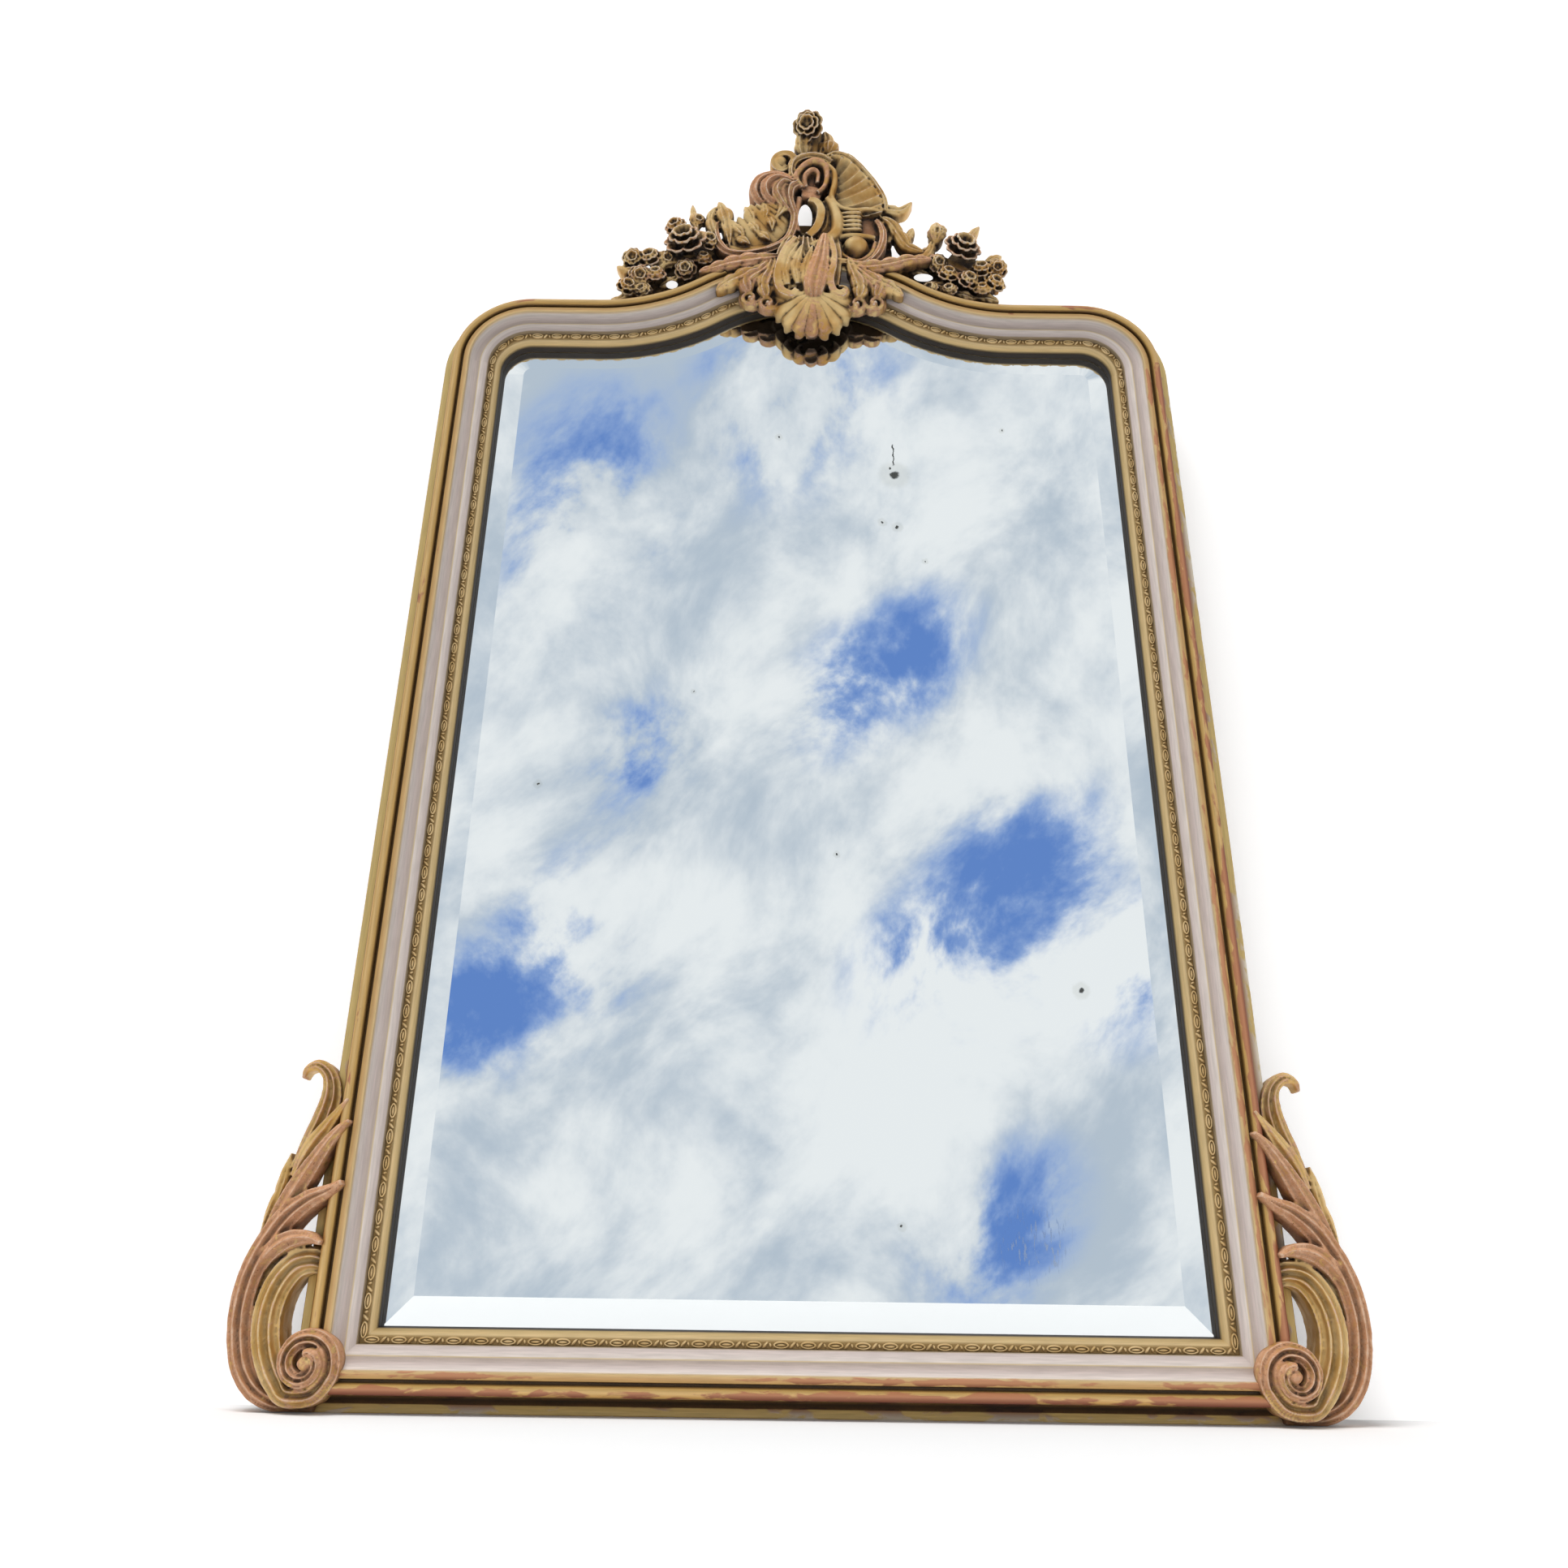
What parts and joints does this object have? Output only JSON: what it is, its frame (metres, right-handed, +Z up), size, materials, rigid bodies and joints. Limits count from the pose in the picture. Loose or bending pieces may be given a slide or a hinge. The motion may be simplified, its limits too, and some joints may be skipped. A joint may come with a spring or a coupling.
{
  "type": "trumeau mirror",
  "caption": "Tall arched overmantel mirror: bevelled plate in a moulded gilt and painted frame with a carved rocaille crest and pierced corner scrolls at the base.",
  "frame": {"origin": "middle of the flat underside of the bottom rail, half way between the back and the outer edge's front", "axes": "+Z up, +X to the viewer's right, front and glass towards -Y"},
  "size_m": [1.086, 0.0996, 1.6903],
  "materials": {
    "gilt_wood": "water gilding over red bole and gesso, rubbed",
    "painted_wood": "aged lilac grey distemper, rubbed",
    "softwood": "bare aged pine",
    "mirror_plate": "polished, bevelled",
    "silvering": "silver backing with slight foxing",
    "iron": "dark forged iron",
    "brass": "tarnished"
  },
  "bodies": {
    "frame": {"back_board_1": "softwood", "back_board_2": "softwood", "back_board_3": "softwood", "back_board_4": "softwood", "back_board_5": "softwood", "board_nails": "iron", "carcass_bottom_rail": "softwood", "carcass_left_stile": "softwood", "carcass_right_stile": "softwood", "carcass_top_rail": "softwood", "corner_leaf_left": "gilt_wood", "corner_leaf_right": "gilt_wood", "corner_scroll_left": "gilt_wood", "corner_scroll_right": "gilt_wood", "corner_sprigs_left": "gilt_wood", "corner_sprigs_right": "gilt_wood", "corner_volute_left": "gilt_wood", "corner_volute_right": "gilt_wood", "crest_batten": "softwood", "crest_curl_left": "gilt_wood", "crest_curl_top": "gilt_wood", "crest_drop_shell": "gilt_wood", "crest_ear": "gilt_wood", "crest_finial": "gilt_wood", "crest_garland_left": "gilt_wood", "crest_garland_right": "gilt_wood", "crest_leaf_left": "gilt_wood", "crest_leaf_right": "gilt_wood", "crest_lobe_left": "gilt_wood", "crest_lobe_right": "gilt_wood", "crest_plank": "gilt_wood", "crest_rose_left": "gilt_wood", "crest_rose_right": "gilt_wood", "crest_scroll_left": "gilt_wood", "crest_scroll_right": "gilt_wood", "crest_shield": "gilt_wood", "crest_straps": "iron", "crest_wing_left": "gilt_wood", "crest_wing_right": "gilt_wood", "glass_blocks": "softwood", "hanger_plate_left": "brass", "hanger_plate_right": "brass", "hanger_screws": "iron", "mirror_glass": "mirror_plate", "outer_moulding_bottom": "gilt_wood", "outer_moulding_left": "gilt_wood", "outer_moulding_right": "gilt_wood", "outer_moulding_top": "gilt_wood", "painted_cove_bottom": "painted_wood", "painted_cove_left": "painted_wood", "painted_cove_right": "painted_wood", "painted_cove_top": "painted_wood", "sight_edge_bottom": "gilt_wood", "sight_edge_left": "gilt_wood", "sight_edge_right": "gilt_wood", "sight_edge_top": "gilt_wood", "silvering": "silvering", "strap_screws": "iron"},
    "hanger_ring_left": {"hanger_ring_left": "brass"},
    "hanger_ring_right": {"hanger_ring_right": "brass"}
  },
  "joints": [
    {"name": "ring_left_swing", "type": "hinge", "parent": "frame", "child": "hanger_ring_left", "pos_m": [-0.4495, 0.0266, 1.006], "axis": [1, 0, 0], "range_deg": [0, 170]},
    {"name": "ring_right_swing", "type": "hinge", "parent": "frame", "child": "hanger_ring_right", "pos_m": [0.4495, 0.0266, 1.006], "axis": [1, 0, 0], "range_deg": [0, 170]}
  ]
}
